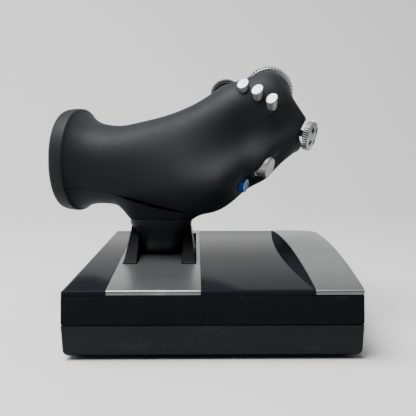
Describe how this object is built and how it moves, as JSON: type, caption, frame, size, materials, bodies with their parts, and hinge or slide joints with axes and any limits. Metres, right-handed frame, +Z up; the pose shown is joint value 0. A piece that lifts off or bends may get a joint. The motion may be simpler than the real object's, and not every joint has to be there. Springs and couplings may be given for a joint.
{
  "type": "flight simulator throttle unit",
  "caption": "Handle-style flight throttle sliding along a low box base, with buttons, hat switch and thumb dial on its head.",
  "frame": {"origin": "middle of the base's footprint, level with the underside of the rubber feet", "axes": "+X to the user's right, +Y away from the user along the lever's travel, +Z up"},
  "size_m": [0.1695, 0.194, 0.1495],
  "materials": {
    "black_gloss": "gloss",
    "black_satin": "satin",
    "silver_paint": "satin",
    "rubber": "matte",
    "steel": "satin",
    "plate_steel": "satin",
    "circuit_board": "satin",
    "chip_black": "matte",
    "ground_steel": "polished",
    "white_nylon": "satin",
    "bronze": "satin",
    "felt": "matte",
    "spring_steel": "satin",
    "black_column": "satin",
    "grip_soft_touch": "matte",
    "bright_silver": "satin",
    "blue_translucent": "gloss"
  },
  "bodies": {
    "base": {"base_upper_shell": "black_gloss", "base_lower_shell": "black_satin", "lever_strip": "silver_paint", "side_strip": "silver_paint", "rubber_feet": "rubber", "case_screws": "steel", "base_weight": "plate_steel", "weight_screws": "steel", "main_board": "circuit_board", "board_chips": "chip_black", "board_screws": "steel", "link_socket": "black_satin", "guide_rod_left": "ground_steel", "guide_rod_right": "ground_steel", "rod_clamp_front": "black_satin", "rod_clamp_rear": "black_satin", "clamp_screws": "steel", "stop_pads": "rubber", "sensor_bracket": "plate_steel", "bracket_screws": "steel", "lever_sensor": "circuit_board", "sensor_nut": "steel"},
    "lever": {"lever_carriage": "black_satin", "guide_bushes": "bronze", "friction_pads": "felt", "friction_springs": "spring_steel", "friction_plugs": "steel", "lever_rack": "white_nylon", "rack_screws": "steel", "lever_column": "black_column", "carriage_screws": "steel", "column_screws": "steel", "grip_top_shell": "grip_soft_touch", "grip_lower_shell": "grip_soft_touch", "grip_screws": "steel", "button_switches": "chip_black", "button_boards": "circuit_board", "hat_housing": "chip_black", "dial_encoder": "circuit_board", "dial_nut": "steel"},
    "pinion": {"sensor_pinion": "white_nylon"},
    "hat_ring": {"hat_gimbal_ring": "white_nylon"},
    "hat": {"hat_cap": "bright_silver"},
    "dial": {"dial_wheel": "bright_silver"},
    "small_button_left_body": {"small_button_left": "bright_silver"},
    "small_button_middle_body": {"small_button_middle": "bright_silver"},
    "small_button_right_body": {"small_button_right": "bright_silver"},
    "silver_button_body": {"silver_button": "bright_silver"},
    "blue_button_body": {"blue_button": "blue_translucent"},
    "index_button_body": {"index_button": "bright_silver"}
  },
  "joints": [
    {"name": "lever_slide", "type": "slide", "parent": "base", "child": "lever", "axis": [0, 1, 0], "range_m": [0, 0.056]},
    {"name": "pinion_spin", "type": "hinge", "parent": "base", "child": "pinion", "pos_m": [0.007, 0.028, 0.0175], "axis": [0, 0, 1], "range_deg": [-295, 0]},
    {"name": "small_button_left_press", "type": "slide", "parent": "lever", "child": "small_button_left_body", "axis": [0.1018, 0.7242, -0.682], "range_m": [0, 0.001], "stiffness_N_per_m": 500, "springref_m": -0.0015},
    {"name": "small_button_middle_press", "type": "slide", "parent": "lever", "child": "small_button_middle_body", "axis": [0.1018, 0.7242, -0.682], "range_m": [0, 0.001], "stiffness_N_per_m": 500, "springref_m": -0.0015},
    {"name": "small_button_right_press", "type": "slide", "parent": "lever", "child": "small_button_right_body", "axis": [0.1018, 0.7242, -0.682], "range_m": [0, 0.001], "stiffness_N_per_m": 500, "springref_m": -0.0015},
    {"name": "silver_button_press", "type": "slide", "parent": "lever", "child": "silver_button_body", "axis": [-0.864, 0.4214, 0.2756], "range_m": [0, 0.0014], "stiffness_N_per_m": 450, "springref_m": -0.0015},
    {"name": "blue_button_press", "type": "slide", "parent": "lever", "child": "blue_button_body", "axis": [-0.8792, 0.4288, 0.2079], "range_m": [0, 0.0012], "stiffness_N_per_m": 450, "springref_m": -0.0015},
    {"name": "index_button_press", "type": "slide", "parent": "lever", "child": "index_button_body", "axis": [0.0842, -0.9623, -0.2588], "range_m": [0, 0.0016], "stiffness_N_per_m": 450, "springref_m": -0.0015},
    {"name": "hat_tilt_across", "type": "hinge", "parent": "lever", "child": "hat_ring", "pos_m": [0.04849, -0.00464, 0.11079], "axis": [-0.2174, 0.1061, -0.9703], "range_deg": [-8, 8], "stiffness_Nm_per_rad": 0.06},
    {"name": "hat_tilt_along", "type": "hinge", "parent": "hat_ring", "child": "hat", "pos_m": [0.04849, -0.00464, 0.11079], "axis": [0.4384, 0.8988, 0], "range_deg": [-8, 8], "stiffness_Nm_per_rad": 0.06},
    {"name": "dial_turn", "type": "hinge", "parent": "lever", "child": "dial", "pos_m": [0.0358, 0.01362, 0.13432], "axis": [0, 0.9903, 0.1392], "range_deg": [-135, 135]}
  ],
  "couplings": [
    {"joint": "pinion_spin", "follows": "lever_slide", "rad_per_m": -90.909}
  ]
}
